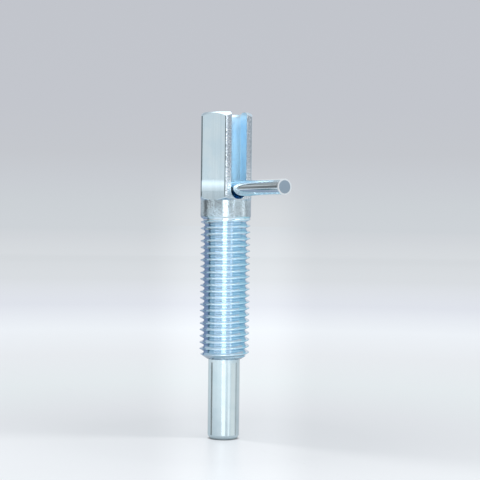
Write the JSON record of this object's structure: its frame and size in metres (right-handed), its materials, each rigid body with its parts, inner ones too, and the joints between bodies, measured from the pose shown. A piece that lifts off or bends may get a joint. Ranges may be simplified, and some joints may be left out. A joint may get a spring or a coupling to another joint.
{
  "type": "indexing plunger",
  "caption": "Spring-loaded locating pin in a threaded body with a slotted hexagon head and a bent rod handle that lifts the pin.",
  "frame": {"origin": "centre of the pin's end face, with the pin let go and standing out fully", "axes": "+Z along the pin's axis, from the pin's end towards the hexagon. -Y is the side of the slot and of the handle's arm"},
  "size_m": [0.0184, 0.0426, 0.1029],
  "materials": {
    "zinc_plated_steel": "blue-white zinc plate over a turned and drawn surface",
    "zinc_plated_pin": "ground, with blue-white zinc plate",
    "bright_rod": "bright drawn rod, zinc plated",
    "spring_wire": "drawn spring wire, lightly oiled"
  },
  "bodies": {
    "housing": {"body": "zinc_plated_steel", "spring": "spring_wire"},
    "plunger": {"plunger_pin": "zinc_plated_pin", "l_handle": "bright_rod"}
  },
  "joints": [
    {"name": "plunger_pull", "type": "slide", "parent": "housing", "child": "plunger", "axis": [0, 0, 1], "range_m": [0, 0.0265], "stiffness_N_per_m": 908, "springref_m": -0.008, "deforming": ["spring"]}
  ]
}
